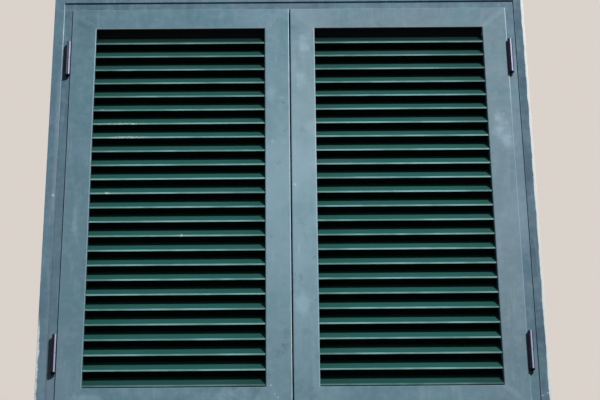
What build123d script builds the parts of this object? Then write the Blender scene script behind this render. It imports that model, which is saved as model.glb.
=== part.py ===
from build123d import *
import os
from math import cos, floor, radians, sin

# Louvred shutters: two steel leaves hung in a fixed steel frame.
# X runs across the opening, Y from the street to the room, Z up.
# The origin is the middle of the frame's underside, where it stands on the masonry sill.

# Fixed frame, folded from one sheet profile and mitred at its four corners
frame_width = 1164.0
frame_height = 1219.0
frame_sheet = 2.0
frame_bend = 1.0
rim_width = 24.0
band_width = 33.5
stop_width = 15.0
stop_clearance = 2.0

# Gaps round the closed leaves
edge_gap = 3.0
meeting_gap = 3.2
lap_clear = 0.4

# Leaf, a mitred rectangle of box tube with a lap that covers the frame's band
tube_face = 45.0
lap_width = 15.0
lap_thickness = 3.0
lap_corner = 2.0
leaf_depth = 40.0
tube_wall = 2.0
tube_corner = 3.0

# Louvre slats, folded strips with a lip at the front and a leg returned at the back
slat_pitch = 40.0
slat_sheet = 1.2
slat_bend = 1.6
slat_clear = 1.0
slat_run = 26.0
slat_rise = 38.0
slat_lip = 3.6
slat_floor = 3.0
slat_tail = 2.0
slot_fit = 0.3

# Barrel hinges
hinge_length = 100.0
hinge_radius = 6.25
hinge_from_foot = 146.0
hinge_from_top = 152.0
hinge_side = 5.5
hinge_proud = 3.5
hinge_chamfer = 0.8
hinge_pad_width = 6.0
hinge_pad_height = 38.0
hinge_pad_proud = 0.5
hinge_pad_depth = 3.2
pin_radius = 3.5
pin_seat = 34.0
pin_rise = 36.0
pin_fit = 0.06
pin_end_room = 1.5
washer_thickness = 1.5
washer_fit = 0.2

# Fixing holes through the jambs
fixing_hole_radius = 4.25
fixing_from_end = 192.5

# Lock rod on the room side of the right leaf
rod_radius = 7.0
rod_standoff = 13.0
rod_end_gap = 4.0
guide_count = 4
guide_end_inset = 110.0
guide_plate_width = 44.0
guide_plate_height = 24.0
guide_plate = 3.0
guide_ring_wall = 4.0
guide_ring_height = 14.0
guide_fit = 0.08
guide_screw_spread = 31.0

# Hooks at the rod's ends and their keepers on the frame
hook_height = 8.0
hook_hub_radius = 10.0
hook_arm = 9.0
hook_reach = 24.0
hook_thickness = 6.0
hook_sweep = 48.0
hook_pin_gap = 0.8
keeper_angle = 118.0
keeper_pin_radius = 4.0
keeper_plate = 4.0
keeper_width = 40.0
keeper_arm_width = 18.0
keeper_arm_end = 9.0
keeper_arm_corner = 8.0
keeper_screw_spread = 28.0

# Handle that lifts on the rod and drops into a catch on the left leaf
fork_height = 26.0
fork_radius = 12.0
fork_ear = 4.0
fork_side_gap = 0.3
fork_web = 1.0
handle_offset = 23.0
handle_thickness = 8.0
handle_width = 13.0
handle_length = 140.0
handle_eye_radius = 8.0
handle_knob_radius = 11.0
handle_pin_radius = 3.0
handle_pin_fit = 0.06
catch_plate_width = 36.0
catch_plate_height = 44.0
catch_sheet = 3.0
catch_arm_width = 14.0
catch_gap = 1.0
catch_lip = 10.0
catch_screw_spread = 30.0

# Screws that hold the lock
screw_radius = 2.0
screw_fit = 0.1
screw_head_across = 7.0
screw_head_height = 3.0
screw_grip = 4.0

# Sizes that follow from the ones above
rebate_depth = leaf_depth + stop_clearance
frame_depth = rebate_depth + frame_sheet
front = -frame_depth / 2
back = frame_depth / 2
profile_width = rim_width + band_width + stop_width
leaf_face = lap_width + tube_face
leaf_inset = rim_width + band_width + edge_gap - lap_width
leaf_width = frame_width / 2 - leaf_inset - meeting_gap / 2
leaf_height = frame_height - 2 * leaf_inset
leaf_bottom = leaf_inset
leaf_top = leaf_bottom + leaf_height
leaf_mid = meeting_gap / 2 + leaf_width / 2
leaf_edge = meeting_gap / 2 + leaf_width
leaf_back = front + leaf_depth
opening_width = leaf_width - 2 * leaf_face
opening_bottom = leaf_bottom + leaf_face
opening_height = leaf_height - 2 * leaf_face
slat_recess = tube_wall + slat_clear
slat_depth = leaf_depth - 2 * slat_recess
slat_height = slat_lip + slat_rise
slat_count = floor((opening_height - slat_floor - slat_height) / slat_pitch) + 1
slat_length = opening_width + 2 * (tube_wall + slat_tail)
hinge_x = leaf_edge + hinge_side
hinge_y = front - hinge_proud
band_y = front + lap_thickness + lap_clear
rod_x = meeting_gap / 2 + lap_width + tube_face / 2
rod_y = leaf_back + rod_standoff
hook_inner = hook_reach + keeper_pin_radius + hook_pin_gap
hook_outer = hook_inner + hook_thickness
rod_bottom = profile_width + rod_end_gap + hook_height
rod_top = frame_height - rod_bottom
handle_z = frame_height / 2
catch_x = -rod_x


def folded_sheet(points, bend, thickness, side):
    """Section of a strip folded along a line of points, its thickness laid to one side."""
    line = FilletPolyline(*points, radius=bend)
    return make_face(offset(line, amount=thickness, side=side))


def mitred(section, length, width):
    """A profile along X, its outer edge at z = 0, cut at 45 degrees at both ends."""
    margin = 1.0
    bar = extrude(Plane.YZ * section, amount=length / 2, both=True)
    outline = Polyline(
        (-length / 2 - margin, -margin),
        (length / 2 + margin, -margin),
        (length / 2 - width - margin, width + margin),
        (-length / 2 + width + margin, width + margin),
        close=True,
    )
    cutter = extrude(Plane.XZ * make_face(outline), amount=2 * frame_depth, both=True)
    return bar & cutter


def four_sides(width, height):
    """Length and placing of the four members of a mitred rectangle standing on z = 0."""
    return {
        "bottom": (width, Pos(0, 0, 0)),
        "left": (height, Pos(-width / 2, 0, height / 2) * Rot(0, 90, 0)),
        "top": (width, Pos(0, 0, height) * Rot(0, 180, 0)),
        "right": (height, Pos(width / 2, 0, height / 2) * Rot(0, -90, 0)),
    }


def upright(radius, z_low, z_high):
    """A round bar on the Z axis between two heights."""
    return Pos(0, 0, (z_low + z_high) / 2) * Cylinder(radius, z_high - z_low)


def block(x_low, x_high, y_low, y_high, z_low, z_high):
    """A block between three pairs of faces."""
    middle = Pos((x_low + x_high) / 2, (y_low + y_high) / 2, (z_low + z_high) / 2)
    return middle * Box(x_high - x_low, y_high - y_low, z_high - z_low)


def frame_members():
    """Sill, head and two jambs with their rim, recessed band, rebate wall and leaf stop."""
    wall = rim_width + band_width
    line = [
        (back, 0),
        (front, 0),
        (front, rim_width),
        (band_y, rim_width),
        (band_y, wall),
        (back - frame_sheet, wall),
        (back - frame_sheet, profile_width),
    ]
    section = folded_sheet(line, frame_bend, frame_sheet, Side.RIGHT)
    names = {"bottom": "sill", "left": "left_jamb", "top": "head", "right": "right_jamb"}
    parts = {}
    for side, (length, place) in four_sides(frame_width, frame_height).items():
        parts[names[side]] = place * mitred(section, length, profile_width)
    for side, name in ((-1, "left_jamb"), (1, "right_jamb")):
        for z in (fixing_from_end, frame_height - fixing_from_end):
            middle_y = (band_y + frame_sheet + back - frame_sheet) / 2
            through = Pos(side * (frame_width / 2 - wall / 2), middle_y, z) * Rot(0, 90, 0)
            parts[name] -= through * Cylinder(fixing_hole_radius, wall + 4 * frame_sheet)
    for name, z, screw_z in (
        ("sill", profile_width, profile_width - stop_width / 2),
        ("head", frame_height - profile_width, frame_height - profile_width + stop_width / 2),
    ):
        for x in keeper_screw_places():
            parts[name] -= Pos(x, back, screw_z) * screw_hole()
    return parts


def slat_line():
    """Front lip, leg rising to the ridge, leg falling to the back and rear lip."""
    y = front + slat_recess
    return [
        (y, 0),
        (y, slat_lip),
        (y + slat_run, slat_height),
        (y + slat_depth, slat_lip),
        (y + slat_depth, 0),
    ]


def slat_section():
    """Section of one slat with its bends."""
    return folded_sheet(slat_line(), slat_bend, slat_sheet, Side.RIGHT)


def slot_section():
    """Outline of the slot punched for a slat's end, with sharp corners."""
    sharp = Kind.INTERSECTION
    strip = offset(Polyline(*slat_line()), amount=slat_sheet, kind=sharp, side=Side.RIGHT)
    return offset(make_face(strip), amount=slot_fit, kind=sharp)


def slat_places():
    """Heights of the slats' lower edges."""
    first = opening_bottom + slat_floor
    return [first + i * slat_pitch for i in range(slat_count)]


def leaf_section():
    """Box tube with a lap along the outer side of its front face."""
    middle = Pos(front + leaf_depth / 2, lap_width + tube_face / 2)
    tube = middle * RectangleRounded(leaf_depth, tube_face, tube_corner)
    inside = middle * Rectangle(leaf_depth - 2 * tube_wall, tube_face - 2 * tube_wall)
    lap = Pos(front + lap_thickness / 2, leaf_face / 4) * Rectangle(lap_thickness, leaf_face / 2)
    edge = lap.vertices().group_by(Axis.X)[0].sort_by(Axis.Y)[0]
    return tube + fillet(edge, lap_corner) - inside


def leaf_parts(hand, x_middle):
    """Two stiles, two rails and the slats of one leaf."""
    section = leaf_section()
    names = {
        "bottom": "bottom_rail",
        "left": "hinge_stile" if hand == "left" else "meeting_stile",
        "top": "top_rail",
        "right": "meeting_stile" if hand == "left" else "hinge_stile",
    }
    parts = {}
    for side, (length, place) in four_sides(leaf_width, leaf_height).items():
        member = Pos(x_middle, 0, leaf_bottom) * place * mitred(section, length, leaf_face)
        parts[f"{hand}_{names[side]}"] = member
    reach = tube_wall + slot_fit
    for side, name in ((-1, names["left"]), (1, names["right"])):
        x = x_middle + side * (opening_width / 2 + tube_wall / 2)
        slot = Pos(x, 0, 0) * extrude(Plane.YZ * slot_section(), amount=reach, both=True)
        stile = parts[f"{hand}_{name}"]
        parts[f"{hand}_{name}"] = stile.cut(*[Pos(0, 0, z) * slot for z in slat_places()])
    slat = extrude(Plane.YZ * slat_section(), amount=slat_length / 2, both=True)
    rows = [Pos(x_middle, 0, z) * slat for z in slat_places()]
    parts[f"{hand}_slats"] = Compound(children=[row.solid() for row in rows])
    return parts


def hinge_parts(hand, level, z):
    """One lift-off hinge: lower half on the jamb, upper half on the leaf, pin and washer."""
    side = -1 if hand == "left" else 1
    half = hinge_length / 2
    gap = washer_thickness / 2
    lower = upright(hinge_radius, -half, -gap)
    upper = upright(hinge_radius, gap, half)
    lower = chamfer(lower.faces().sort_by(Axis.Z)[0].edges(), hinge_chamfer)
    upper = chamfer(upper.faces().sort_by(Axis.Z)[-1].edges(), hinge_chamfer)
    pad_low = (half + gap - hinge_pad_height) / 2
    pad_high = pad_low + hinge_pad_height
    half_pad = hinge_pad_width / 2
    lower += block(-half_pad, half_pad, 0, band_y - hinge_y, -pad_high, -pad_low)
    leaf_side = sorted((0, -side * hinge_side))
    pad_y = hinge_proud - hinge_pad_proud
    upper += block(*leaf_side, pad_y, pad_y + hinge_pad_depth, pad_low, pad_high)
    lower -= upright(pin_radius, -gap - pin_seat, 0)
    upper -= upright(pin_radius + pin_fit, 0, gap + pin_rise + pin_end_room)
    pin = upright(pin_radius, -gap - pin_seat, gap + pin_rise)
    pin = chamfer(pin.faces().sort_by(Axis.Z)[-1].edges(), hinge_chamfer)
    washer = upright(hinge_radius, -gap, gap) - upright(pin_radius + washer_fit, -gap, gap)
    place = Pos(side * hinge_x, hinge_y, z)
    name = f"{hand}_{level}_hinge"
    return {
        f"{name}_jamb_half": place * lower,
        f"{name}_leaf_half": place * upper,
        f"{name}_pin": place * pin,
        f"{name}_washer": place * washer,
    }


def screw_hole():
    """A bore along Y for one lock screw, centred on the face that it enters."""
    return Rot(90, 0, 0) * Cylinder(screw_radius + screw_fit, 2 * (screw_grip + keeper_plate))


def screw(plate):
    """A hexagon-headed screw along Y, its head seated on a plate of the given thickness."""
    across = screw_head_across / cos(radians(30)) / 2
    head = extrude(RegularPolygon(across, 6), amount=screw_head_height)
    shank = upright(screw_radius, -plate - screw_grip, 0)
    return Pos(0, plate, 0) * Rot(-90, 0, 0) * (head + shank)


def keeper_x():
    """Place across the opening of the keeper pins."""
    return rod_x + hook_reach * cos(radians(keeper_angle))


def keeper_screw_places():
    """Places across the opening of the keepers' screws."""
    return [keeper_x() + side * keeper_screw_spread / 2 for side in (-1, 1)]


def guide_heights():
    """Heights of the rod guides, evenly spaced between the two end ones."""
    low = rod_bottom + guide_end_inset
    step = (rod_top - rod_bottom - 2 * guide_end_inset) / (guide_count - 1)
    return [low + i * step for i in range(guide_count)]


def guide_screw_places():
    """Places of the guide screws on the right leaf's meeting stile."""
    places = []
    for z in guide_heights():
        for side in (-1, 1):
            places.append((rod_x + side * guide_screw_spread / 2, z))
    return places


def catch_screw_places():
    """Places of the catch screws on the left leaf's meeting stile."""
    return [(catch_x, handle_z + side * catch_screw_spread / 2) for side in (-1, 1)]


def lock_rod():
    """The rod and a hook on each end, turned clear of the keepers."""
    rod = Pos(rod_x, rod_y, 0) * upright(rod_radius, rod_bottom, rod_top)
    tip = hook_outer * cos(radians(hook_sweep)), hook_outer * sin(radians(hook_sweep))
    ring = Circle(hook_outer) - Circle(hook_inner)
    wedge = make_face(Polyline((0, 0), (2 * hook_outer, 0), (2 * tip[0], 2 * tip[1]), close=True))
    arm = Pos(hook_outer / 2, 0) * Rectangle(hook_outer, hook_arm)
    arm &= Circle(hook_outer)
    flat = Circle(hook_hub_radius) + arm + (ring & wedge)
    hook = Pos(rod_x, rod_y, 0) * extrude(flat, amount=hook_height)
    return {
        "lock_rod": rod,
        "bottom_hook": Pos(0, 0, rod_bottom - hook_height) * hook,
        "top_hook": Pos(0, 0, rod_top) * hook,
    }


def rod_guides():
    """Plates with a ring for the rod, screwed to the right leaf's meeting stile."""
    ring_radius = rod_radius + guide_fit + guide_ring_wall
    plate = block(
        -guide_plate_width / 2,
        guide_plate_width / 2,
        0,
        guide_plate,
        -guide_plate_height / 2,
        guide_plate_height / 2,
    )
    plate = fillet(plate.edges().filter_by(Axis.Y), guide_plate)
    half = guide_ring_height / 2
    ring = Pos(0, rod_standoff, 0) * upright(ring_radius, -half, half)
    web = block(-ring_radius, ring_radius, 0, rod_standoff, -half, half)
    bore = Pos(0, rod_standoff, 0) * upright(rod_radius + guide_fit, -half, half)
    guide = plate + ring + web - bore
    for side in (-1, 1):
        guide -= Pos(side * guide_screw_spread / 2, 0, 0) * screw_hole()
    places = enumerate(guide_heights(), start=1)
    return {f"rod_guide_{i}": Pos(rod_x, leaf_back, z) * guide for i, z in places}


def keepers():
    """Angle plates on the head and sill stops, each with a pin for the rod's hook."""
    pin_y = rod_y + hook_reach * sin(radians(keeper_angle))
    arm_end = pin_y + keeper_arm_end
    x = keeper_x()
    plate = block(-keeper_width / 2, keeper_width / 2, back, back + keeper_plate, 0, stop_width)
    half_arm = keeper_arm_width / 2
    arm = block(-half_arm, half_arm, back, arm_end, 0, keeper_plate)
    arm = fillet(arm.edges().filter_by(Axis.Z).sort_by(Axis.Y)[-2:], keeper_arm_corner)
    pin = Pos(0, pin_y, 0) * upright(keeper_pin_radius, -rod_end_gap - hook_height, 0)
    keeper = plate + arm + pin
    for side in (-1, 1):
        keeper -= Pos(side * keeper_screw_spread / 2, back, stop_width / 2) * screw_hole()
    head = Pos(x, 0, frame_height - profile_width) * keeper
    sill = mirror(head, about=Plane.XY.offset(frame_height / 2))
    return {"head_keeper": head, "sill_keeper": sill}


def handle_parts():
    """Fork fixed on the rod, its pin and the hanging lever."""
    half = handle_thickness / 2 + fork_side_gap
    ears = block(
        -half - fork_ear,
        half + fork_ear,
        0,
        handle_offset,
        -handle_eye_radius,
        handle_eye_radius,
    )
    round_end = Pos(0, handle_offset, 0) * Rot(0, 90, 0)
    ears += round_end * Cylinder(handle_eye_radius, 2 * (half + fork_ear))
    collar = upright(fork_radius, -fork_height / 2, fork_height / 2)
    slot_floor = fork_radius + fork_web
    slot = block(-half, half, slot_floor, 2 * handle_offset, -fork_height, fork_height)
    fork = ears + collar - slot - upright(rod_radius, -fork_height, fork_height)
    fork -= round_end * Cylinder(handle_pin_radius, 4 * fork_radius)
    pin = round_end * Cylinder(handle_pin_radius, 2 * (half + fork_ear))

    profile = Circle(handle_eye_radius)
    profile += Pos(0, -handle_length / 2) * Rectangle(handle_width, handle_length)
    profile += Pos(0, -handle_length) * Circle(handle_knob_radius)
    lever = extrude(Plane.YZ * profile, amount=handle_thickness / 2, both=True)
    lever -= Rot(0, 90, 0) * Cylinder(handle_pin_radius + handle_pin_fit, 2 * handle_thickness)
    place = Pos(rod_x, rod_y, handle_z)
    return {
        "handle_fork": place * fork,
        "handle_pin": place * pin,
        "handle": place * Pos(0, handle_offset, 0) * lever,
    }


def handle_catch():
    """Folded catch on the left leaf that the locked handle drops into."""
    lever_low = handle_z - handle_width / 2
    arm_z = lever_low - catch_gap - catch_sheet
    arm_end = rod_y + handle_thickness / 2 + catch_gap + catch_sheet
    plate = block(
        -catch_plate_width / 2,
        catch_plate_width / 2,
        leaf_back,
        leaf_back + catch_sheet,
        handle_z - catch_plate_height / 2,
        handle_z + catch_plate_height / 2,
    )
    half = catch_arm_width / 2
    arm = block(-half, half, leaf_back, arm_end, arm_z, arm_z + catch_sheet)
    lip_top = arm_z + catch_sheet + catch_lip
    lip = block(-half, half, arm_end - catch_sheet, arm_end, arm_z, lip_top)
    catch = Pos(catch_x, 0, 0) * (plate + arm + lip)
    for x, z in catch_screw_places():
        catch -= Pos(x, leaf_back, z) * screw_hole()
    return {"handle_catch": catch}


def screws():
    """Screws of the guides, the catch and the keepers, grouped by what they enter."""
    right = [Pos(x, leaf_back, z) * screw(guide_plate) for x, z in guide_screw_places()]
    left = [Pos(x, leaf_back, z) * screw(catch_sheet) for x, z in catch_screw_places()]
    frame = []
    for z in (profile_width - stop_width / 2, frame_height - profile_width + stop_width / 2):
        frame += [Pos(x, back, z) * screw(keeper_plate) for x in keeper_screw_places()]
    groups = {"guide_screws": right, "catch_screws": left, "keeper_screws": frame}
    return {n: Compound(children=[s.solid() for s in g]) for n, g in groups.items()}


def build():
    """Every piece of the shutters, by name."""
    parts = frame_members()
    parts |= leaf_parts("left", -leaf_mid)
    parts |= leaf_parts("right", leaf_mid)
    for x, z in guide_screw_places():
        parts["right_meeting_stile"] -= Pos(x, leaf_back, z) * screw_hole()
    for x, z in catch_screw_places():
        parts["left_meeting_stile"] -= Pos(x, leaf_back, z) * screw_hole()
    levels = {"bottom": leaf_bottom + hinge_from_foot, "top": leaf_top - hinge_from_top}
    for hand in ("left", "right"):
        for level, z in levels.items():
            parts |= hinge_parts(hand, level, z)
    parts |= lock_rod()
    parts |= rod_guides()
    parts |= keepers()
    parts |= handle_parts()
    parts |= handle_catch()
    parts |= screws()
    return parts


os.makedirs("parts", exist_ok=True)
for node, shape in build().items():
    export_step(shape, f"parts/{node}.step")
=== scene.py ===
"""Paint, metal, weld seams and studio for a pair of louvred steel shutters in their frame."""

from math import cos, pi, radians, sin

import bmesh
import bpy
from bpy.props import FloatProperty, FloatVectorProperty, PointerProperty
from mathutils import Matrix, Vector


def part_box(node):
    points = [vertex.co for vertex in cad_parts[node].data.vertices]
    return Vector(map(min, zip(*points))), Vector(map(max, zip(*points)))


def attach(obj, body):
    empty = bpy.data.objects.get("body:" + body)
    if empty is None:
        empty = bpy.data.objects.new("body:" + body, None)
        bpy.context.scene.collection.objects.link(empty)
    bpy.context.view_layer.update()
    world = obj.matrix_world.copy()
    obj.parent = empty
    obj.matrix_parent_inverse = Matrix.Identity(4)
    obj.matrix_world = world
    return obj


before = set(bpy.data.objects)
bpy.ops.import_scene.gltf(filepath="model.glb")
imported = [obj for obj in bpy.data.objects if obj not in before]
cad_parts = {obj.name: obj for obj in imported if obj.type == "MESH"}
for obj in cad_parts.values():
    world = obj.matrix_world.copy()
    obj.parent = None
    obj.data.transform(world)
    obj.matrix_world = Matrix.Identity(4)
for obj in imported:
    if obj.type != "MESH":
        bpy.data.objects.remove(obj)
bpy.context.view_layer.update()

bl_info = {
    "name": "Louvred shutters",
    "version": (1, 0, 0),
    "blender": (4, 5, 0),
    "location": "3D View > Sidebar > Shutters",
    "description": "Finishes, weld seams and studio for louvred steel shutters",
    "category": "Object",
}

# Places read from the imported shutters, in metres
LEAVES = ("left", "right")
HINGE_LEVELS = ("bottom", "top")
SILL_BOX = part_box("sill")
FRAME_LEFT = SILL_BOX[0].x
FRAME_RIGHT = SILL_BOX[1].x
FRAME_FRONT = SILL_BOX[0].y
FRAME_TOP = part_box("head")[1].z
LEAF_LOW, LEAF_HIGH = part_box("left_hinge_stile")[0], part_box("left_meeting_stile")[1]
LEAF_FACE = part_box("left_hinge_stile")[1].x - LEAF_LOW.x
LEAF_FRONT = LEAF_LOW.y
MEETING_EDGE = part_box("right_meeting_stile")[0].x
LIP_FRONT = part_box("left_slats")[0].y
MIDDLE_HEIGHT = FRAME_TOP / 2
LEAF_MIDDLE = (LEAF_LOW.x + LEAF_HIGH.x) / 2
HALF_LEAF_WIDTH = (LEAF_HIGH.x - LEAF_LOW.x) / 2
HALF_LEAF_HEIGHT = (LEAF_HIGH.z - LEAF_LOW.z) / 2

# Widths of the folded sheets and the step from slat to slat, in metres
RIM_WIDTH = 0.024
LAP_WIDTH = 0.015
LAP_THICKNESS = 0.003
SLAT_PITCH = 0.04

# Marks on the front: each has its middle across and up, its half width and half height, its strength
LEAF_RUBS = (
    ((0.033, 1.059), (0.030, 0.045), 0.42),
    ((0.027, 0.953), (0.026, 0.035), 0.40),
    ((0.020, 0.324), (0.026, 0.045), 0.34),
    ((0.505, 0.825), (0.026, 0.050), 0.40),
    ((0.521, 0.766), (0.020, 0.040), 0.40),
    ((-0.044, 0.909), (0.020, 0.030), 0.25),
    ((-0.0186, 0.9029), (0.009, 0.003), 0.35),
    ((-0.0429, 0.7746), (0.006, 0.008), 0.3),
    ((0.0172, 0.4736), (0.003, 0.032), 0.35),
    ((-0.509, 0.567), (0.010, 0.080), 0.22),
    ((-0.300, 0.095), (0.200, 0.030), 0.16),
    ((-0.170, 0.080), (0.110, 0.050), 0.30),
    ((-0.450, 0.080), (0.060, 0.030), 0.28),
)
LEAF_SPLASHES = (
    ((-0.050, 0.108), (0.0022, 0.0028), 0.5),
    ((-0.041, 0.085), (0.0022, 0.0022), 0.5),
    ((-0.034, 0.077), (0.0022, 0.0026), 0.45),
    ((0.0095, 0.650), (0.0035, 0.0035), 0.6),
)
LEAF_SMUDGES = (
    ((-0.0150, 0.8881), (0.006, 0.010), 0.4),
    ((-0.0141, 0.8056), (0.006, 0.006), 0.5),
    ((-0.0289, 0.7118), (0.008, 0.008), 0.25),
    ((0.0210, 0.3917), (0.007, 0.012), 0.3),
    ((-0.0182, 0.2136), (0.012, 0.007), 0.35),
)
FRAME_SPLASHES = (
    ((0.562, 0.0765), (0.0024, 0.0024), 0.55),
    ((0.5735, 0.084), (0.0024, 0.0034), 0.55),
    ((0.5765, 0.094), (0.0022, 0.0024), 0.55),
    ((-0.563, 0.624), (0.003, 0.004), 0.6),
    ((-0.584, 0.462), (0.004, 0.008), 0.6),
)
LIP_CHIPS = (
    ((-0.402, 0.8290), (0.066, 0.0075), 0.8),
    ((-0.384, 0.7895), (0.064, 0.0075), 0.8),
    ((-0.456, 0.875), (0.010, 0.008), 0.3),
    ((-0.436, 0.630), (0.008, 0.008), 0.8),
    ((-0.259, 0.511), (0.005, 0.008), 0.9),
)


def srgb(red, green, blue):
    """A colour given in display values from 0 to 255, as the linear values that shaders use."""
    channels = []
    for value in (red, green, blue):
        part = value / 255
        linear = part / 12.92 if part <= 0.04045 else ((part + 0.055) / 1.055) ** 2.4
        channels.append(linear)
    return tuple(channels)


def colour(name, description, default):
    """A colour property with its default."""
    return FloatVectorProperty(
        name=name,
        description=description,
        subtype="COLOR",
        size=3,
        min=0,
        max=1,
        default=default,
    )


def length(name, description, default):
    """A length property in metres."""
    return FloatProperty(
        name=name, description=description, subtype="DISTANCE", unit="LENGTH", default=default
    )


def angle(name, description, degrees):
    """An angle property whose default is given in degrees."""
    return FloatProperty(
        name=name,
        description=description,
        subtype="ANGLE",
        unit="ROTATION",
        default=radians(degrees),
    )


def share(name, description, default):
    """A property from 0 to 1."""
    return FloatProperty(
        name=name, description=description, subtype="FACTOR", min=0, max=1, default=default
    )


class PaintSettings(bpy.types.PropertyGroup):
    """Colours and wear of the painted steel, and the colours used for painted light and shade."""

    leaf: colour("Leaf paint", "Blue-grey of the leaves", srgb(94, 125, 139))
    bleached: colour("Bleached paint", "Sun-bleached paint of the middle stiles", srgb(143, 172, 185))
    teal: colour("Teal", "Greener tint that shows in patches of the paint", srgb(90, 132, 138))
    band: colour("Band paint", "Frame paint between the rim and the leaves", srgb(78, 105, 121))
    rim: colour("Rim paint", "Outer rim of the frame", srgb(84, 111, 129))
    # Painted shade: the right rim's darker colour.
    shaded_rim: colour("Dark rim", "Darker paint of the right rim", srgb(60, 87, 105))
    slat: colour("Slat paint", "Dark green of the louvre slats", srgb(24, 77, 71))
    # Painted highlight: the pale colour of the slats' lips.
    lip_highlight: colour("Slat lip", "Bleached paint on the lips of the slats", srgb(136, 174, 176))
    chalk: colour("Chalk", "Pale film where the paint has weathered", srgb(158, 178, 190))
    # Pale edge colour: real rubbed wear, and also painted light on right-facing edges and on shaded
    # left-facing flanks.
    worn_and_lit: colour("Worn edge", "Pale metal on rubbed edges", srgb(173, 199, 213))
    dust: colour("Dust", "Warm street dust on the right stile", srgb(140, 128, 122))
    # Near-black used as painted shade under the rails, in the slat gaps, on the openings' side walls
    # and in the left step's crease, and to darken some slat rows.
    near_black: colour("Soot", "Dark dust where no rain reaches", srgb(16, 22, 26))
    # Grime, and also painted shade on the right-facing step edges low on the left.
    grime_and_shade: colour("Grime", "Dust that darkens the corners", srgb(62, 82, 88))
    plaster: colour("Plaster", "Splashes of plaster", srgb(218, 222, 222))
    chalk_share: share("Chalking", "How strongly the paint has chalked", 0.16)
    wear_share: share("Edge wear", "How strongly the sheltered edges are rubbed", 0.12)


class MetalSettings(bpy.types.PropertyGroup):
    """Colours of the bare metal and of the lock, and the painted highlight of the hinges."""

    steel: colour("Hinge steel", "Dark, blued steel of the hinges", srgb(25, 21, 38))
    steel_sheen: colour("Steel sheen", "Bluish tint of the steel's highlights", (0.62, 0.62, 1.0))
    # Painted highlight: the pale colour of the hinge barrels' highlight strips.
    steel_highlight: colour("Rubbed steel", "Steel rubbed bright along the barrels", srgb(150, 154, 176))
    brass: colour("Brass", "Tarnished washers between the hinge halves", srgb(74, 62, 52))
    zinc: colour("Zinc", "Plated screws and pins", srgb(168, 170, 172))
    lock: colour("Lock paint", "Dark paint of the rod and its handle", srgb(58, 66, 70))
    rubber: colour("Seal rubber", "Black rubber of the meeting seal", srgb(12, 24, 38))
    seam: colour("Weld seam", "Painted weld seams", srgb(112, 138, 150))


class SeamSettings(bpy.types.PropertyGroup):
    """Sizes of the weld seams."""

    width: length("Width", "Width of a weld seam", 0.006)
    height: length("Height", "Height of a weld seam over its sheet", 0.0013)
    ripple: length("Ripple", "Distance between two ripples of a seam", 0.003)
    tack: length("Tack", "Length of a tack at a slat's end", 0.007)


class StudioSettings(bpy.types.PropertyGroup):
    """Camera, lamps, backdrop and floor."""

    lens: FloatProperty(
        name="Lens", description="Focal length in millimetres on a 36 mm film", default=150
    )
    camera_side: length("Camera side", "Camera's place across the shutters", -0.0239)
    camera_distance: length("Camera distance", "Camera's place in front of the origin", 4.9719)
    camera_height: length("Camera height", "Camera's place over the frame's foot", -2.6153)
    camera_pitch: angle("Camera pitch", "How far the camera looks up", 33.052)
    camera_roll: angle("Camera roll", "Turn of the camera about its own axis", 0.703)
    camera_yaw: angle("Camera yaw", "Turn of the camera to the right", 0.518)
    key_azimuth: angle("Key azimuth", "Key lamp's place to the right of the front", 38)
    key_elevation: angle("Key elevation", "Key lamp's height over the middle", 39)
    key_distance: length("Key distance", "Key lamp's distance from the middle", 9.0)
    key_size: length("Key size", "Side of the key softbox", 1.0)
    key_level: FloatProperty(
        name="Key level", description="Light that the key gives a face turned to it", default=1.37
    )
    fill_level: FloatProperty(
        name="Fill level", description="Light from all round, where 1 is white", default=0.16
    )
    fill_colour: colour("Fill colour", "Bluish light of the sky", (0.62, 0.84, 1.0))
    floor_paleness: share("Floor paleness", "Part of the floor's colour that the lamps light", 0.28)
    floor_bounce: share("Floor bounce", "Floor's colour for the light that it throws back", 0.03)
    back_level: FloatProperty(
        name="Back level", description="Light that the room side's lamp gives", default=0.6
    )
    back_size: length("Back size", "Side of the room side's softbox", 2.0)
    back_place: FloatVectorProperty(
        name="Back place",
        description="The room side's lamp from the middle of the front",
        subtype="XYZ",
        unit="LENGTH",
        default=(-1.6, 3.6, 1.8),
    )
    floor_drop: length("Floor drop", "How far the floor lies under the frame's foot", 4.2)
    floor_radius: length("Floor radius", "Reach of the round floor", 30.0)
    backdrop: colour("Backdrop", "Pale backdrop and floor", srgb(218, 210, 203))


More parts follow.
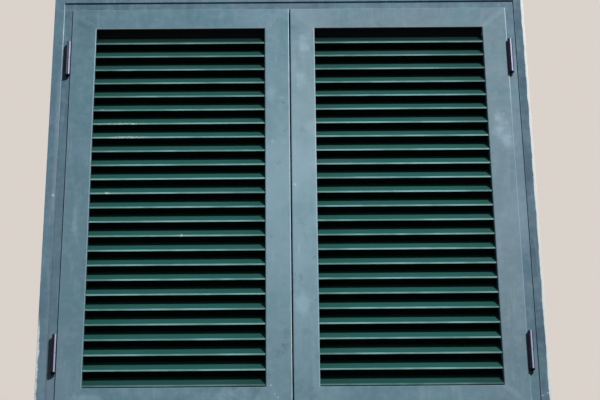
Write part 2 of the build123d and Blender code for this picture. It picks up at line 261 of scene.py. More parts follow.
class Finish:
    """One procedural material, with short ways to add the nodes that it is built from."""

    def __init__(self, name):
        self.material = bpy.data.materials.new(name)
        self.material.use_nodes = True
        self.tree = self.material.node_tree
        self.shader = self.tree.nodes["Principled BSDF"]
        self.output = self.tree.nodes["Material Output"]
        coordinates = self.add("ShaderNodeTexCoord")
        self.place = coordinates.outputs["Object"]
        split = self.add("ShaderNodeSeparateXYZ")
        self.put(split.inputs[0], self.place)
        self.x, self.y, self.z = split.outputs
        facing = self.add("ShaderNodeSeparateXYZ")
        self.put(facing.inputs[0], coordinates.outputs["Normal"])
        self.facing_x, self.facing_y, self.facing_z = facing.outputs

    def add(self, kind, **settings):
        """A new node with its settings."""
        node = self.tree.nodes.new(kind)
        for name, value in settings.items():
            setattr(node, name, value)
        return node

    def put(self, socket, value):
        """Links a socket to another one, or sets its value."""
        if isinstance(value, bpy.types.NodeSocket):
            self.tree.links.new(value, socket)
        else:
            socket.default_value = value

    def math(self, operation, *values):
        """One operation on one or two values."""
        node = self.add("ShaderNodeMath", operation=operation)
        for socket, value in zip(node.inputs, values):
            self.put(socket, value)
        return node.outputs[0]

    def chain(self, operation, first, *others):
        """One operation taken over two or more values in turn."""
        for other in others:
            first = self.math(operation, first, other)
        return first

    def times(self, *values):
        return self.chain("MULTIPLY", *values)

    def total(self, *values):
        return self.chain("ADD", *values)

    def most(self, *values):
        return self.chain("MAXIMUM", *values)

    def minus(self, value, other):
        return self.math("SUBTRACT", value, other)

    def above(self, value, limit):
        """1 over a limit, 0 elsewhere."""
        return self.math("GREATER_THAN", value, limit)

    def below(self, value, limit):
        """1 under a limit, 0 elsewhere."""
        return self.math("LESS_THAN", value, limit)

    def ramp(self, value, low, high, low_result=0.0, high_result=1.0):
        """A smooth step from one result to another."""
        node = self.add("ShaderNodeMapRange", interpolation_type="SMOOTHSTEP")
        for socket, part in zip(node.inputs, (value, low, high, low_result, high_result)):
            self.put(socket, part)
        return node.outputs[0]

    def mix(self, amount, first, second):
        """Two colours mixed by an amount."""
        node = self.add("ShaderNodeMix", data_type="RGBA")
        self.put(node.inputs[0], amount)
        for socket, value in ((node.inputs[6], first), (node.inputs[7], second)):
            if not isinstance(value, bpy.types.NodeSocket):
                value = (*value, 1)
            self.put(socket, value)
        return node.outputs[2]

    def stretched(self, stretch, shift=(0, 0, 0)):
        """Object coordinates squeezed or stretched along the axes."""
        node = self.add("ShaderNodeMapping")
        self.put(node.inputs["Vector"], self.place)
        self.put(node.inputs["Scale"], stretch)
        self.put(node.inputs["Location"], shift)
        return node.outputs[0]

    def noise(self, scale, detail=3.0, roughness=0.55, stretch=(1, 1, 1), shift=(0, 0, 0)):
        """Cloudy values from 0 to 1 with a mean of about a half."""
        node = self.add("ShaderNodeTexNoise")
        self.put(node.inputs["Vector"], self.stretched(stretch, shift))
        self.put(node.inputs["Scale"], scale)
        self.put(node.inputs["Detail"], detail)
        self.put(node.inputs["Roughness"], roughness)
        return node.outputs[0]

    def cells(self, scale):
        """Distance to the nearest of many scattered points."""
        node = self.add("ShaderNodeTexVoronoi")
        self.put(node.inputs["Vector"], self.place)
        self.put(node.inputs["Scale"], scale)
        return node.outputs["Distance"]

    def rounded_edges(self):
        """1 where the surface bends round an edge, 0 on flat faces."""
        facing = (self.facing_x, self.facing_y, self.facing_z)
        sizes = [self.math("ABSOLUTE", part) for part in facing]
        return self.ramp(self.most(*sizes), 0.995, 0.93)

    def patch(self, middle, size, softness, ragged):
        """1 inside a ragged oval on the front face, fading out at its border."""
        across = self.math("DIVIDE", self.minus(self.x, middle[0]), size[0])
        along = self.math("DIVIDE", self.minus(self.z, middle[1]), size[1])
        reach = self.math("SQRT", self.total(self.times(across, across), self.times(along, along)))
        return self.ramp(self.total(reach, ragged), 1.0, 1.0 - softness)

    def patches(self, spots, softness, scale, ragged):
        """The strongest of several patches, each a middle, a size and a strength."""
        border = self.ramp(self.noise(scale, 4.0, 0.7), 0.25, 0.75, -ragged, ragged)
        total = 0.0
        for middle, size, strength in spots:
            spot = self.patch(middle, size, softness, border)
            total = self.most(self.times(spot, strength), total)
        return total

    def bump(self, height, strength, distance):
        """Fine relief of the surface."""
        node = self.add("ShaderNodeBump")
        self.put(node.inputs["Height"], height)
        self.put(node.inputs["Strength"], strength)
        self.put(node.inputs["Distance"], distance)
        self.put(self.shader.inputs["Normal"], node.outputs[0])

    def set(self, **values):
        """Sets the shader's own sockets."""
        for name, value in values.items():
            if isinstance(value, tuple):
                value = (*value, 1)
            self.put(self.shader.inputs[name.replace("_", " ")], value)


def wear(finish, paint, base, rubs_and_highlight, splashes, edges):
    """Patches, streaks, grime, rubbed edges with a painted highlight on those facing right, pale rub
    marks and splashes over one paint.
    """
    cloud = finish.ramp(finish.noise(5.0, 4.0, 0.6), 0.42, 0.72)
    result = finish.mix(finish.times(cloud, paint.chalk_share), base, paint.chalk)
    green = finish.noise(8.0, 3.0, 0.55, shift=(4, 2, 9))
    result = finish.mix(finish.ramp(green, 0.45, 0.7, 0, 0.35), result, paint.teal)
    streaks = finish.noise(11.0, 5.0, 0.65, stretch=(6, 6, 0.8), shift=(1, 6, 3))
    result = finish.mix(finish.ramp(streaks, 0.5, 0.78, 0, 0.22), result, paint.chalk)
    drips = finish.noise(9.0, 4.0, 0.6, stretch=(4, 4, 0.35))
    result = finish.mix(finish.ramp(drips, 0.55, 0.8, 0, 0.2), result, paint.grime_and_shade)
    smudge = finish.noise(15.0, 5.0, 0.7, shift=(3, 1, 2))
    result = finish.mix(finish.ramp(smudge, 0.58, 0.7, 0, 0.24), result, paint.grime_and_shade)
    scuffs = finish.noise(48.0, 5.0, 0.7, stretch=(1, 1, 0.6), shift=(6, 9, 2))
    handled = finish.ramp(finish.noise(6.0, 2.0, shift=(9, 1, 7)), 0.45, 0.6)
    scuffs = finish.times(finish.ramp(scuffs, 0.58, 0.68, 0, 0.2), handled)
    result = finish.mix(scuffs, result, paint.grime_and_shade)
    mottle = finish.noise(55.0, 3.0, 0.6, shift=(8, 3, 5))
    result = finish.mix(finish.ramp(mottle, 0.4, 0.7, 0, 0.12), result, paint.chalk)
    marks = finish.times(rubs_and_highlight, finish.ramp(smudge, 0.3, 0.6, 0.45, 1))
    result = finish.mix(marks, result, paint.worn_and_lit)
    broken = finish.ramp(finish.noise(22.0, 3.0), 0.35, 0.6, 0.55, 1)
    # Painted highlight: rounded edges facing right get the full pale edge colour; the others get only
    # the wear share as real wear.
    wear_and_lit_side = finish.ramp(finish.facing_x, 0.15, 0.5, paint.wear_share, 1)
    edge = finish.times(finish.rounded_edges(), broken, wear_and_lit_side, edges)
    result = finish.mix(edge, result, paint.worn_and_lit)
    sparse = finish.ramp(finish.noise(3.5, 2.0, shift=(7, 5, 1)), 0.66, 0.7, 0, 0.7)
    flecks = finish.times(finish.ramp(finish.cells(110.0), 0.10, 0.06), sparse)
    return finish.mix(finish.most(flecks, splashes), result, paint.plaster)


def surface(finish, paint_colour, shine, rough_low, rough_high, grain, edge_rough=None, dull=0.0):
    """Colour, roughness that varies and is lower on rubbed edges, and the grain of brushed paint."""
    rough = finish.ramp(finish.noise(14.0, 3.0), 0.3, 0.7, rough_low, rough_high)
    if edge_rough is not None:
        smooth = finish.times(finish.rounded_edges(), finish.minus(rough, edge_rough))
        rough = finish.minus(rough, smooth)
    finish.set(Base_Color=paint_colour, Roughness=finish.most(rough, dull), Specular_IOR_Level=shine)
    strokes = finish.noise(260.0, 3.0, 0.6, stretch=(1, 1, 0.4))
    finish.bump(strokes, grain, 0.0004)


def leaf_base(finish, paint, away):
    """Blue-grey, bleached towards the middle, chalked at the sides, dusty and smudged in places."""
    faded = finish.times(
        finish.ramp(finish.z, 0.05, 0.70, 0.35, 1),
        finish.ramp(finish.z, 0.75, 1.15, 1, 0.38),
        finish.ramp(away, 0.17, 0.05),
    )
    left_share = finish.ramp(finish.z, 0.62, 0.92, 0.74, 0.42)
    faded = finish.times(faded, finish.most(left_share, finish.ramp(finish.x, -0.01, 0.01)))
    patchy = finish.ramp(finish.noise(7.0, 4.0, 0.6, shift=(2, 8, 4)), 0.3, 0.7, 0.85, 1)
    base = finish.mix(finish.times(faded, patchy), paint.leaf, paint.bleached)
    left_chalk = finish.times(
        finish.ramp(finish.x, -0.2, -0.4),
        finish.ramp(finish.z, 0.8, 0.5, 0, 0.07),
        finish.ramp(finish.z, 0.08, 0.20),
    )
    right_chalk = finish.times(
        finish.ramp(finish.x, 0.38, 0.42, 0, 0.12),
        finish.ramp(finish.z, 1.06, 0.98),
        finish.ramp(finish.z, 0.15, 0.30),
    )
    base = finish.mix(finish.most(left_chalk, right_chalk), base, paint.chalk)
    high_dust = finish.times(
        finish.ramp(finish.x, 0.0, 0.02, 0, 0.14), finish.ramp(finish.z, 0.6, 0.85)
    )
    dusty = finish.most(high_dust, finish.ramp(finish.x, 0.40, 0.50, 0, 0.12))
    base = finish.mix(dusty, base, paint.dust)
    corner = finish.times(
        finish.ramp(finish.x, -0.46, -0.50, 0, 0.2), finish.ramp(finish.z, 1.00, 1.08)
    )
    base = finish.mix(corner, base, paint.grime_and_shade)
    smudges = finish.patches(LEAF_SMUDGES, softness=0.8, scale=120.0, ragged=0.5)
    return finish.mix(smudges, base, paint.grime_and_shade)


def leaf_inset(finish, away):
    """How far a point lies inside its leaf's outline, across and along the leaf."""
    across = finish.math("ABSOLUTE", finish.minus(away, -LEAF_MIDDLE))
    along = finish.math("ABSOLUTE", finish.minus(finish.z, MIDDLE_HEIGHT))
    return finish.minus(HALF_LEAF_WIDTH, across), finish.minus(HALF_LEAF_HEIGHT, along)


def mitre_marks(finish, across, along):
    """A faint line and a filed strip along the mitres, clearer on the right."""
    off = finish.math("ABSOLUTE", finish.minus(across, along))
    line = finish.ramp(off, 0.0014, 0.0003, 0, 0.14)
    filed = finish.ramp(off, 0.016, 0.002, 0, 0.12)
    return finish.times(finish.most(line, filed), finish.ramp(finish.x, 0.2, 0.5, 0.4, 1))


def leaf_shade_and_light(finish, paint, result, across, reveals, under):
    """Painted shade on the undersides over the openings and on the openings' right-facing side walls,
    paler downward rounded edges, and painted light on the shaded left flank.
    """
    # Painted shade: the flat right-facing side walls of the openings are darkened towards near-black.
    inner_side = finish.times(
        finish.above(finish.facing_x, 0.9), finish.ramp(across, 0.02, 0.03, 0, 0.6)
    )
    result = finish.mix(finish.most(inner_side, under), result, paint.near_black)
    # Paler on the rounded edges that face down, in the upper part of the leaves.
    pale_lower_edges = finish.times(
        finish.rounded_edges(),
        finish.below(finish.facing_z, -0.1),
        reveals,
        finish.ramp(finish.z, 0.8, 0.9, 0, 0.7),
    )
    result = finish.mix(pale_lower_edges, result, paint.plaster)
    # Painted light: the shaded left-facing flank at the far left is lightened towards the pale edge
    # colour.
    flank = finish.times(finish.below(finish.facing_x, -0.15), finish.below(finish.x, -0.5), 0.7)
    return finish.mix(flank, result, paint.worn_and_lit)


def leaf_finish(paint):
    """Blue-grey paint of the leaves' profiles, bleached towards the middle stiles."""
    finish = Finish("weathered_leaf_paint")
    away = finish.math("ABSOLUTE", finish.x)
    across, along = leaf_inset(finish, away)
    rubs_and_highlight = finish.patches(LEAF_RUBS, softness=1.0, scale=24.0, ragged=0.5)
    rubs_and_highlight = finish.most(rubs_and_highlight, mitre_marks(finish, across, along))
    splashes = finish.patches(LEAF_SPLASHES, softness=0.7, scale=260.0, ragged=0.6)
    outline = finish.ramp(finish.math("MINIMUM", across, along), 0.012, 0.006, 0.3, 1)
    clear = finish.most(finish.ramp(finish.z, 0.80, 0.98, 0.2, 1), finish.below(away, 0.1))
    edges = finish.times(outline, clear)
    result = wear(finish, paint, leaf_base(finish, paint, away), rubs_and_highlight, splashes, edges)
    reveals = finish.ramp(along, 0.02, 0.03)
    # Painted shade: the downward faces over the openings in the upper half are darkened towards
    # near-black.
    under = finish.times(
        finish.below(finish.facing_z, -0.9), reveals, finish.ramp(finish.z, 0.5, 0.6, 0, 0.93)
    )
    result = leaf_shade_and_light(finish, paint, result, across, reveals, under)
    surface(finish, result, 0.1, 0.5, 0.7, 0.35, edge_rough=0.3, dull=under)
    return finish.material


def frame_base(finish, paint):
    """Paint of the band and of the rim, pale beside the left step, with painted shade on the right rim
    and in the crease beside the left step.
    """
    sunned = finish.times(
        finish.ramp(finish.z, 0.40, 0.52, 0, 0.2),
        finish.ramp(finish.z, 1.08, 0.98),
        finish.above(finish.x, 0.5),
    )
    band = finish.mix(sunned, paint.band, paint.chalk)
    # Painted shade darkens the rim towards the right.
    rim = finish.mix(finish.ramp(finish.x, 0.2, 0.5), paint.rim, paint.shaded_rim)
    foremost = finish.ramp(finish.y, FRAME_FRONT + 0.002, FRAME_FRONT + 0.001)
    base = finish.mix(foremost, band, rim)
    chalky = finish.times(
        finish.ramp(finish.x, -0.4, -0.5), finish.ramp(finish.z, 0.9, 0.6, 0, 0.07)
    )
    base = finish.mix(chalky, base, paint.chalk)
    step = finish.minus(finish.x, FRAME_LEFT + RIM_WIDTH)
    on_rim = finish.below(step, 0.0)
    pale = finish.times(
        finish.ramp(step, -0.012, -0.003),
        on_rim,
        finish.ramp(finish.z, 0.52, 0.64, 0, 0.24),
        finish.ramp(finish.z, 1.06, 0.90),
    )
    base = finish.mix(pale, base, paint.chalk)
    # Painted shade: the band is darkened in the crease beside the left step.
    crease_shade = finish.minus(finish.ramp(step, 0.004, 0.001), on_rim)
    return finish.mix(finish.times(crease_shade, 0.35), base, paint.near_black)


def mortar_smear(finish):
    """Mortar smeared over the foot of the left edge."""
    ragged = finish.noise(60.0, 4.0, 0.7)
    reach = finish.total(finish.minus(finish.x, FRAME_LEFT), finish.times(ragged, -0.012))
    return finish.times(
        finish.ramp(reach, 0.0, -0.004),
        finish.ramp(finish.z, 0.30, 0.25),
        finish.ramp(finish.y, FRAME_FRONT + 0.009, FRAME_FRONT + 0.005),
    )


def limewash(finish):
    """Limewash brushed over the right edge."""
    brushed = finish.noise(40.0, 4.0, 0.65, stretch=(1, 1, 0.3), shift=(5, 5, 5))
    reach = finish.total(finish.minus(FRAME_RIGHT, finish.x), finish.times(brushed, -0.009))
    depth = finish.total(finish.y, finish.times(brushed, 0.010))
    return finish.times(
        finish.ramp(reach, 0.0020, 0.0, 0, 0.92),
        finish.ramp(depth, FRAME_FRONT + 0.012, FRAME_FRONT + 0.008),
    )


def frame_finish(paint):
    """Blue-grey paint of the fixed frame, with mortar and limewash over its outer edges."""
    finish = Finish("weathered_frame_paint")
    splashes = finish.patches(FRAME_SPLASHES, softness=0.7, scale=260.0, ragged=0.6)
    splashes = finish.most(splashes, mortar_smear(finish), limewash(finish))
    edges = finish.ramp(finish.z, 0.93, 1.12, 0.12, 1)
    result = wear(finish, paint, frame_base(finish, paint), 0.0, splashes, edges)
    # Painted shade: the right-facing rounded edges on the left side, below about 0.8 m, are darkened.
    step_edge_shade = finish.times(
        finish.rounded_edges(),
        finish.above(finish.facing_x, 0.2),
        finish.below(finish.x, 0.0),
        finish.ramp(finish.z, 0.85, 0.72, 0, 0.85),
    )
    result = finish.mix(step_edge_shade, result, paint.grime_and_shade)
    # Painted light: the shaded left-facing faces on the right side are lightened towards the pale edge
    # colour.
    flank = finish.times(finish.below(finish.facing_x, -0.15), finish.above(finish.x, 0.5), 0.6)
    result = finish.mix(flank, result, paint.worn_and_lit)
    surface(finish, result, 0.14, 0.5, 0.7, 0.3, edge_rough=0.3)
    return finish.material


def slat_finish(paint):
    """Dark green slats with a painted highlight on their lips, painted shade in their gaps and under
    the top rail, a few lips chipped.
    """
    finish = Finish("weathered_slat_paint")
    grime_and_shade = finish.ramp(finish.noise(12.0, 4.0, stretch=(0.4, 1, 1)), 0.5, 0.8, 0, 0.35)
    green = finish.mix(grime_and_shade, paint.slat, paint.grime_and_shade)
    # Painted shade: the front-facing surfaces deep in the gaps between the slats are darkened towards
    # near-black.
    inside = finish.times(
        finish.ramp(finish.y, LIP_FRONT + 0.020, LIP_FRONT + 0.027, 0, 0.85),
        finish.below(finish.facing_y, 0.1),
    )
    green = finish.mix(inside, green, paint.near_black)
    # Painted highlight: the lips' front faces are paled, less on the lowest rows.
    lip_highlight = finish.times(
        finish.ramp(finish.y, LIP_FRONT + 0.0007, LIP_FRONT + 0.0002),
        finish.ramp(finish.noise(22.0, 3.0, stretch=(0.5, 1, 1)), 0.34, 0.66, 0.5, 1),
        finish.ramp(finish.z, 0.12, 0.14, 0.72, 1),
    )
    result = finish.mix(lip_highlight, green, paint.lip_highlight)
    aside = finish.math("ABSOLUTE", finish.total(finish.math("ABSOLUTE", finish.x), LEAF_MIDDLE))
    # Darker towards the top, towards the slats' ends, on the right of the right leaf and along the
    # lowest rows.
    darkened_places = finish.total(
        finish.ramp(finish.z, 0.70, 1.04, 0, 0.22),
        finish.ramp(aside, 0.10, 0.20, 0, 0.13),
        finish.ramp(finish.x, 0.33, 0.42, 0, 0.05),
        finish.ramp(finish.z, 0.16, 0.12, 0, 0.32),
    )
    result = finish.mix(darkened_places, result, paint.near_black)
    # Painted shadow of the top rail: the top slat's upper part is darkened to a deep green.
    rail_shadow_green = tuple(part * 0.15 for part in paint.slat)
    shaded = finish.times(
        finish.ramp(finish.z, 1.074, 1.083, 0.08, 0.88), finish.above(finish.z, 1.05)
    )
    result = finish.mix(shaded, result, rail_shadow_green)
    chips = finish.times(
        finish.patches(LIP_CHIPS, softness=0.6, scale=90.0, ragged=0.3),
        finish.ramp(finish.noise(280.0, 2.0, 0.7), 0.48, 0.56),
        finish.ramp(finish.y, LIP_FRONT + 0.004, LIP_FRONT + 0.002),
    )
    result = finish.mix(chips, result, paint.plaster)
    surface(finish, result, 0.1, 0.6, 0.8, 0.3, dull=finish.ramp(finish.z, 1.05, 1.08))
    return finish.material


def steel_finish(metal):
    """Blued hinge steel, stained, with a painted highlight along a strip of each barrel and a second
    one on the upper left hinge.
    """
    finish = Finish("blued_hinge_steel")
    stain = finish.ramp(finish.noise(55.0, 4.0, 0.65), 0.4, 0.7)
    dark = tuple(part * 0.5 for part in metal.steel)
    base = finish.mix(stain, metal.steel, dark)
    # Painted highlight: a strip on the right front of each barrel is paled.
    rubs_and_highlight = finish.times(
        finish.ramp(finish.facing_x, 0.0, 0.14), finish.ramp(finish.facing_x, 0.72, 0.58)
    )
    # Painted highlight: a second strip on the left front of the upper left hinge's barrel is paled.
    left_hinge_highlight = finish.times(
        finish.ramp(finish.facing_x, -0.8, -0.6),
        finish.ramp(finish.facing_x, -0.15, -0.3),
        finish.below(finish.x, -0.4),
        finish.ramp(finish.z, 0.8, 0.9, 0, 0.7),
    )
    foremost = finish.ramp(finish.facing_y, -0.3, -0.5, 0, 0.9)
    base = finish.mix(finish.times(finish.most(rubs_and_highlight, left_hinge_highlight), foremost), base, metal.steel_highlight)
    rough = finish.ramp(stain, 0, 1, 0.36, 0.42)
    sheen = tuple(metal.steel_sheen)
    finish.set(Base_Color=base, Roughness=rough, Specular_IOR_Level=0.24, Specular_Tint=sheen)
    finish.bump(finish.noise(500.0, 2.0), 0.15, 0.0003)
    return finish.material


def plain_metal(name, tint, metallic, rough, shine=0.5):
    """A plated or painted small part with slight stains."""
    finish = Finish(name)
    stain = finish.ramp(finish.noise(70.0, 3.0, 0.6), 0.4, 0.75, 0, 0.5)
    darker = tuple(part * 0.5 for part in tint)
    finish.set(
        Base_Color=finish.mix(stain, tint, darker),
        Metallic=metallic,
        Roughness=finish.ramp(stain, 0, 0.5, rough, rough + 0.15),
        Specular_IOR_Level=shine,
    )
    finish.bump(finish.noise(600.0, 2.0), 0.1, 0.0003)
    return finish.material


def dress(slot, material):
    """Gives every node of one material slot its finish."""
    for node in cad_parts.values():
        for place in node.material_slots:
            if place.material and place.material.name == slot:
                place.material = material


class SHUTTERS_OT_frame_paint(bpy.types.Operator):
    """Paints the fixed frame"""

    bl_idname = "shutters.frame_paint"
    bl_label = "Frame paint"

    def execute(self, context):
        dress("frame_paint", frame_finish(context.scene.shutter_paint))
        return {"FINISHED"}


class SHUTTERS_OT_leaf_paint(bpy.types.Operator):
    """Paints the stiles and rails of both leaves"""

    bl_idname = "shutters.leaf_paint"
    bl_label = "Leaf paint"

    def execute(self, context):
        dress("leaf_paint", leaf_finish(context.scene.shutter_paint))
        return {"FINISHED"}


class SHUTTERS_OT_slat_paint(bpy.types.Operator):
    """Paints the louvre slats, with a painted highlight on their lips"""

    bl_idname = "shutters.slat_paint"
    bl_label = "Slat paint"

    def execute(self, context):
        dress("slat_paint", slat_finish(context.scene.shutter_paint))
        return {"FINISHED"}


class SHUTTERS_OT_metal(bpy.types.Operator):
    """Finishes the hinges, washers, lock and screws"""

    bl_idname = "shutters.metal"
    bl_label = "Hinges and lock"

    def execute(self, context):
        metal = context.scene.shutter_metal
        dress("hinge_steel", steel_finish(metal))
        dress("washer_brass", plain_metal("dull_brass", metal.brass, 0.3, 0.6, 0.3))
        dress("zinc_steel", plain_metal("zinc_plate", metal.zinc, 0.8, 0.35))
        dress("lock_paint", plain_metal("dark_lock_paint", metal.lock, 0.0, 0.5))
        return {"FINISHED"}


def lay_seam(bm, start, end, outward, width, height, ripple):
    """A rippled weld seam from one point to another, standing out along a direction."""
    end_size = 0.45
    valley_depth = 0.16
    run = end - start
    steps = max(4, round(run.length / ripple))
    ring = bmesh.ops.create_circle(bm, cap_ends=True, segments=10, radius=1)["verts"]
    verts = list(ring)
    cap = ring[0].link_faces[0]
    full = end_size
    bmesh.ops.scale(bm, verts=ring, vec=(full, full, 1))
    for step in range(1, steps + 1):
        target = end_size if step == steps else 1.0 - valley_depth * (step % 2)
        made = bmesh.ops.extrude_face_region(bm, geom=[cap])["geom"]
        cap = next(part for part in made if isinstance(part, bmesh.types.BMFace))
        moved = [part for part in made if isinstance(part, bmesh.types.BMVert)]
        bmesh.ops.translate(bm, verts=moved, vec=(0, 0, 1 / steps))
        bmesh.ops.scale(bm, verts=moved, vec=(target / full, target / full, 1))
        full = target
        verts += moved
    along = run.normalized()
    across = outward.cross(along)
    turn = Matrix((across, outward, along)).transposed().to_4x4()
    sizes = Matrix.Diagonal((width / 2, height, run.length, 1))
    bmesh.ops.transform(bm, verts=verts, matrix=Matrix.Translation(start) @ turn @ sizes)


def sort_faces(bm):
    """Sorts the faces by their middles, because an extrusion's own order changes from run to run."""
    placed = sorted(bm.faces, key=lambda face: tuple(face.calc_center_median()))
    rank = {face: number for number, face in enumerate(placed)}
    bm.faces.sort(key=rank.get)
    bm.faces.index_update()


def finish_piece(bm, name, body, material):
    """A smooth piece from a bmesh, riding on one body."""
    bmesh.ops.recalc_face_normals(bm, faces=bm.faces)
    sort_faces(bm)
    for face in bm.faces:
        face.smooth = True
    mesh = bpy.data.meshes.new(name)
    bm.to_mesh(mesh)
    bm.free()
    piece = bpy.data.objects.new(name, mesh)
    bpy.context.scene.collection.objects.link(piece)
    mesh.materials.append(material)
    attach(piece, body)


class SHUTTERS_OT_mitre_seams(bpy.types.Operator):
    """Lays the weld seams at the mitres on the room side of the leaves"""

    bl_idname = "shutters.mitre_seams"
    bl_label = "Mitre seams"

    def execute(self, context):
        seam = context.scene.shutter_seam
        material = plain_metal("leaf_seam_paint", context.scene.shutter_metal.seam, 0.0, 0.6)
        margin = 0.004
        inset = LAP_WIDTH + margin
        reach = LEAF_FACE - LAP_WIDTH - 2 * margin
        for hand in LEAVES:
            bm = bmesh.new()
            low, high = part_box(f"{hand}_bottom_rail")[0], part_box(f"{hand}_top_rail")[1]
            for x, inwards in ((low.x, 1), (high.x, -1)):
                for z, upwards in ((low.z, 1), (high.z, -1)):
                    outer = Vector((x + inwards * inset, high.y, z + upwards * inset))
                    inner = outer + Vector((inwards * reach, 0, upwards * reach))
                    lay_seam(bm, outer, inner, Vector((0, 1, 0)), seam.width, seam.height, seam.ripple)
            finish_piece(bm, f"{hand}_mitre_seams", f"{hand}_leaf", material)
        return {"FINISHED"}


class SHUTTERS_OT_hinge_seams(bpy.types.Operator):
    """Lays the seams that hold the hinge pads on the frame"""

    bl_idname = "shutters.hinge_seams"
    bl_label = "Hinge seams"

    def execute(self, context):
        seam = context.scene.shutter_seam
        material = plain_metal("frame_seam_paint", context.scene.shutter_metal.seam, 0.0, 0.6)
        pad_half, beside_pad, above_foot = 0.003, 0.001, 0.008
        seam_length, seam_width, seam_height = 0.034, 0.004, 0.0018
        bm = bmesh.new()
        for hand in LEAVES:
            for level in HINGE_LEVELS:
                low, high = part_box(f"{hand}_{level}_hinge_jamb_half")
                middle = (low.x + high.x) / 2
                for side in (-1, 1):
                    x = middle + side * (pad_half + beside_pad)
                    start = Vector((x, high.y, low.z + above_foot))
                    end = start + Vector((0, 0, seam_length))
                    outward = Vector((side * 0.5, -1, 0)).normalized()
                    lay_seam(bm, start, end, outward, seam_width, seam_height, seam.ripple)
        finish_piece(bm, "hinge_seams", "frame", material)
        return {"FINISHED"}


class SHUTTERS_OT_slat_tacks(bpy.types.Operator):
    """Lays the tack welds at the slats' ends on the room side"""

    bl_idname = "shutters.slat_tacks"
    bl_label = "Slat tacks"

    def execute(self, context):
        seam = context.scene.shutter_seam
        material = plain_metal("slat_tack_paint", context.scene.shutter_metal.seam, 0.0, 0.6)
        above_row, depth, lean = 0.010, 0.001, 0.0015
        tack_width, tack_height, tack_ripple = 0.0036, 0.0016, 0.002
        for hand in LEAVES:
            bm = bmesh.new()
            low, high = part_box(f"{hand}_slats")
            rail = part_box(f"{hand}_bottom_rail")
            left_end, right_end = rail[0].x + LEAF_FACE, rail[1].x - LEAF_FACE
            for row in range(round((high.z - low.z) / SLAT_PITCH)):
                z = low.z + row * SLAT_PITCH + above_row
                for x, side in ((left_end, 1), (right_end, -1)):
                    start = Vector((x, high.y - depth, z))
                    end = start + Vector((0, -lean, seam.tack))
                    outward = Vector((side, 1, 0)).normalized()
                    lay_seam(bm, start, end, outward, tack_width, tack_height, tack_ripple)
            finish_piece(bm, f"{hand}_slat_tacks", f"{hand}_leaf", material)
        return {"FINISHED"}


class SHUTTERS_OT_meeting_seal(bpy.types.Operator):
    """Fits the rubber seal that closes the gap between the two leaves"""

    bl_idname = "shutters.meeting_seal"
    bl_label = "Meeting seal"

    def execute(self, context):
        half_width, half_depth, web_depth = 0.00145, 0.0017, 0.0014
        bulb_behind, web_behind, short = 0.0026, 0.0030, 0.001
        low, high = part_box("right_meeting_stile")
        lap_back = LEAF_FRONT + LAP_THICKNESS
        foot = low.z + short
        bm = bmesh.new()
        bulb = bmesh.ops.create_circle(bm, cap_ends=True, segments=16, radius=1)["verts"]
        bmesh.ops.scale(bm, verts=bulb, vec=(half_width, half_depth, 1))
        bmesh.ops.translate(bm, verts=bulb, vec=(0, lap_back + bulb_behind, foot))
        web = bmesh.ops.create_grid(bm, x_segments=6, y_segments=1, size=0.5)["verts"]
        web_width = MEETING_EDGE + LAP_WIDTH
        bmesh.ops.scale(bm, verts=web, vec=(web_width, web_depth, 1))
        bmesh.ops.translate(bm, verts=web, vec=(web_width / 2, lap_back + web_behind, foot))
        made = bmesh.ops.extrude_face_region(bm, geom=list(bm.faces))["geom"]
        top = [part for part in made if isinstance(part, bmesh.types.BMVert)]
        bmesh.ops.translate(bm, verts=top, vec=(0, 0, high.z - low.z - 2 * short))
        rubber = plain_metal("seal_rubber", context.scene.shutter_metal.rubber, 0.0, 0.7, 0.1)
        finish_piece(bm, "meeting_seal", "right_leaf", rubber)
        return {"FINISHED"}


def lamp(name, place, target, size, level):
    """A square softbox that gives a face turned to it the stated level at the target's distance."""
    light = bpy.data.lights.new(name, "AREA")
    light.shape = "SQUARE"
    light.size = size
    reach = (place - target).length
    light.energy = level * pi * pi * reach**2
    holder = bpy.data.objects.new(name, light)
    holder.rotation_euler = (place - target).to_track_quat("Z", "Y").to_euler()
    holder.location = place
    holder.visible_camera = False
    bpy.context.scene.collection.objects.link(holder)


def pale_to_the_eye(tree):
    """1 for rays that show the backdrop, in view, in a reflection or through glass."""
    path = tree.nodes.new("ShaderNodeLightPath")
    total = path.outputs["Is Camera Ray"]
    for kind in ("Is Glossy Ray", "Is Transmission Ray"):
        node = tree.nodes.new("ShaderNodeMath")
        node.operation = "MAXIMUM"
        tree.links.new(total, node.inputs[0])
        tree.links.new(path.outputs[kind], node.inputs[1])
        total = node.outputs[0]
    return total


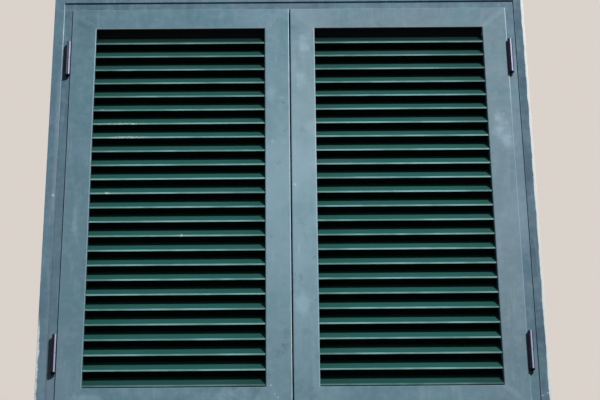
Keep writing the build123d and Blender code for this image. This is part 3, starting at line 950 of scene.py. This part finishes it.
class SHUTTERS_OT_studio(bpy.types.Operator):
    """Sets up the backdrop, floor, lamps and camera"""

    bl_idname = "shutters.studio"
    bl_label = "Studio"

    def execute(self, context):
        studio = context.scene.shutter_studio
        self.make_world(context, studio)
        self.make_floor(studio)
        self.make_lamps(studio)
        self.make_camera(context, studio)
        context.scene.view_settings.view_transform = "Standard"
        return {"FINISHED"}

    def make_world(self, context, studio):
        world = bpy.data.worlds.new("backdrop")
        context.scene.world = world
        world.use_nodes = True
        tree = world.node_tree
        plain = tree.nodes["Background"]
        plain.inputs["Color"].default_value = (*studio.fill_colour, 1)
        plain.inputs["Strength"].default_value = studio.fill_level
        pale = tree.nodes.new("ShaderNodeBackground")
        pale.inputs["Color"].default_value = (*studio.backdrop, 1)
        pale.inputs["Strength"].default_value = 1
        blend = tree.nodes.new("ShaderNodeMixShader")
        tree.links.new(pale_to_the_eye(tree), blend.inputs[0])
        tree.links.new(plain.outputs[0], blend.inputs[1])
        tree.links.new(pale.outputs[0], blend.inputs[2])
        tree.links.new(blend.outputs[0], tree.nodes["World Output"].inputs["Surface"])

    def make_floor(self, studio):
        bm = bmesh.new()
        bmesh.ops.create_circle(bm, cap_ends=True, segments=96, radius=studio.floor_radius)
        bmesh.ops.translate(bm, verts=bm.verts, vec=(0, 0, -studio.floor_drop))
        mesh = bpy.data.meshes.new("floor")
        bm.to_mesh(mesh)
        bm.free()
        floor = bpy.data.objects.new("floor", mesh)
        bpy.context.scene.collection.objects.link(floor)
        finish = Finish("pale_floor")
        seen = pale_to_the_eye(finish.tree)
        pale = tuple(part * studio.floor_paleness for part in studio.backdrop)
        dark = tuple(part * studio.floor_bounce for part in studio.backdrop)
        finish.set(Base_Color=finish.mix(seen, dark, pale), Roughness=0.9)
        glow = finish.add("ShaderNodeEmission")
        finish.put(glow.inputs["Color"], (*studio.backdrop, 1))
        finish.put(glow.inputs["Strength"], finish.times(seen, 1 - studio.floor_paleness))
        both = finish.add("ShaderNodeAddShader")
        finish.put(both.inputs[0], finish.shader.outputs[0])
        finish.put(both.inputs[1], glow.outputs[0])
        finish.put(finish.output.inputs["Surface"], both.outputs[0])
        mesh.materials.append(finish.material)

    def make_lamps(self, studio):
        middle = Vector((0, FRAME_FRONT, MIDDLE_HEIGHT))
        azimuth, elevation = studio.key_azimuth, studio.key_elevation
        flat = cos(elevation)
        towards = Vector((sin(azimuth) * flat, -cos(azimuth) * flat, sin(elevation)))
        key = middle + towards * studio.key_distance
        lamp("key_softbox", key, middle, studio.key_size, studio.key_level)
        behind = middle + Vector(studio.back_place)
        lamp("room_side_softbox", behind, middle, studio.back_size, studio.back_level)

    def make_camera(self, context, studio):
        data = bpy.data.cameras.new("camera")
        data.lens = studio.lens
        data.sensor_width = 36
        data.clip_end = 100
        camera = bpy.data.objects.new("camera", data)
        turn = Matrix.Rotation(-studio.camera_yaw, 4, "Z")
        turn @= Matrix.Rotation(pi / 2 + studio.camera_pitch, 4, "X")
        turn @= Matrix.Rotation(-studio.camera_roll, 4, "Z")
        place = Vector((studio.camera_side, -studio.camera_distance, studio.camera_height))
        camera.matrix_world = Matrix.Translation(place) @ turn
        context.scene.collection.objects.link(camera)
        context.scene.camera = camera


class SHUTTERS_PT_panel(bpy.types.Panel):
    """Steps and settings of the shutters"""

    bl_label = "Louvred shutters"
    bl_idname = "SHUTTERS_PT_panel"
    bl_space_type = "VIEW_3D"
    bl_region_type = "UI"
    bl_category = "Shutters"

    def draw(self, context):
        layout = self.layout
        for step in STEPS:
            layout.operator(step.bl_idname)
        for group in ("shutter_paint", "shutter_metal", "shutter_seam", "shutter_studio"):
            settings = getattr(context.scene, group)
            box = layout.box()
            for name in settings.__annotations__:
                box.prop(settings, name)


SETTINGS = {
    "shutter_paint": PaintSettings,
    "shutter_metal": MetalSettings,
    "shutter_seam": SeamSettings,
    "shutter_studio": StudioSettings,
}
STEPS = (
    SHUTTERS_OT_frame_paint,
    SHUTTERS_OT_leaf_paint,
    SHUTTERS_OT_slat_paint,
    SHUTTERS_OT_metal,
    SHUTTERS_OT_mitre_seams,
    SHUTTERS_OT_hinge_seams,
    SHUTTERS_OT_slat_tacks,
    SHUTTERS_OT_meeting_seal,
    SHUTTERS_OT_studio,
)


def register():
    """Registers the settings, the steps and the panel."""
    for kind in (*SETTINGS.values(), *STEPS, SHUTTERS_PT_panel):
        bpy.utils.register_class(kind)
    for name, settings in SETTINGS.items():
        setattr(bpy.types.Scene, name, PointerProperty(type=settings))


def unregister():
    """Takes them out again."""
    for name in SETTINGS:
        delattr(bpy.types.Scene, name)
    for kind in reversed((*SETTINGS.values(), *STEPS, SHUTTERS_PT_panel)):
        bpy.utils.unregister_class(kind)


def main():
    """Registers the add-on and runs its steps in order."""
    register()
    for step in STEPS:
        group, name = step.bl_idname.split(".")
        getattr(getattr(bpy.ops, group), name)()


if __name__ == "__main__":
    main()
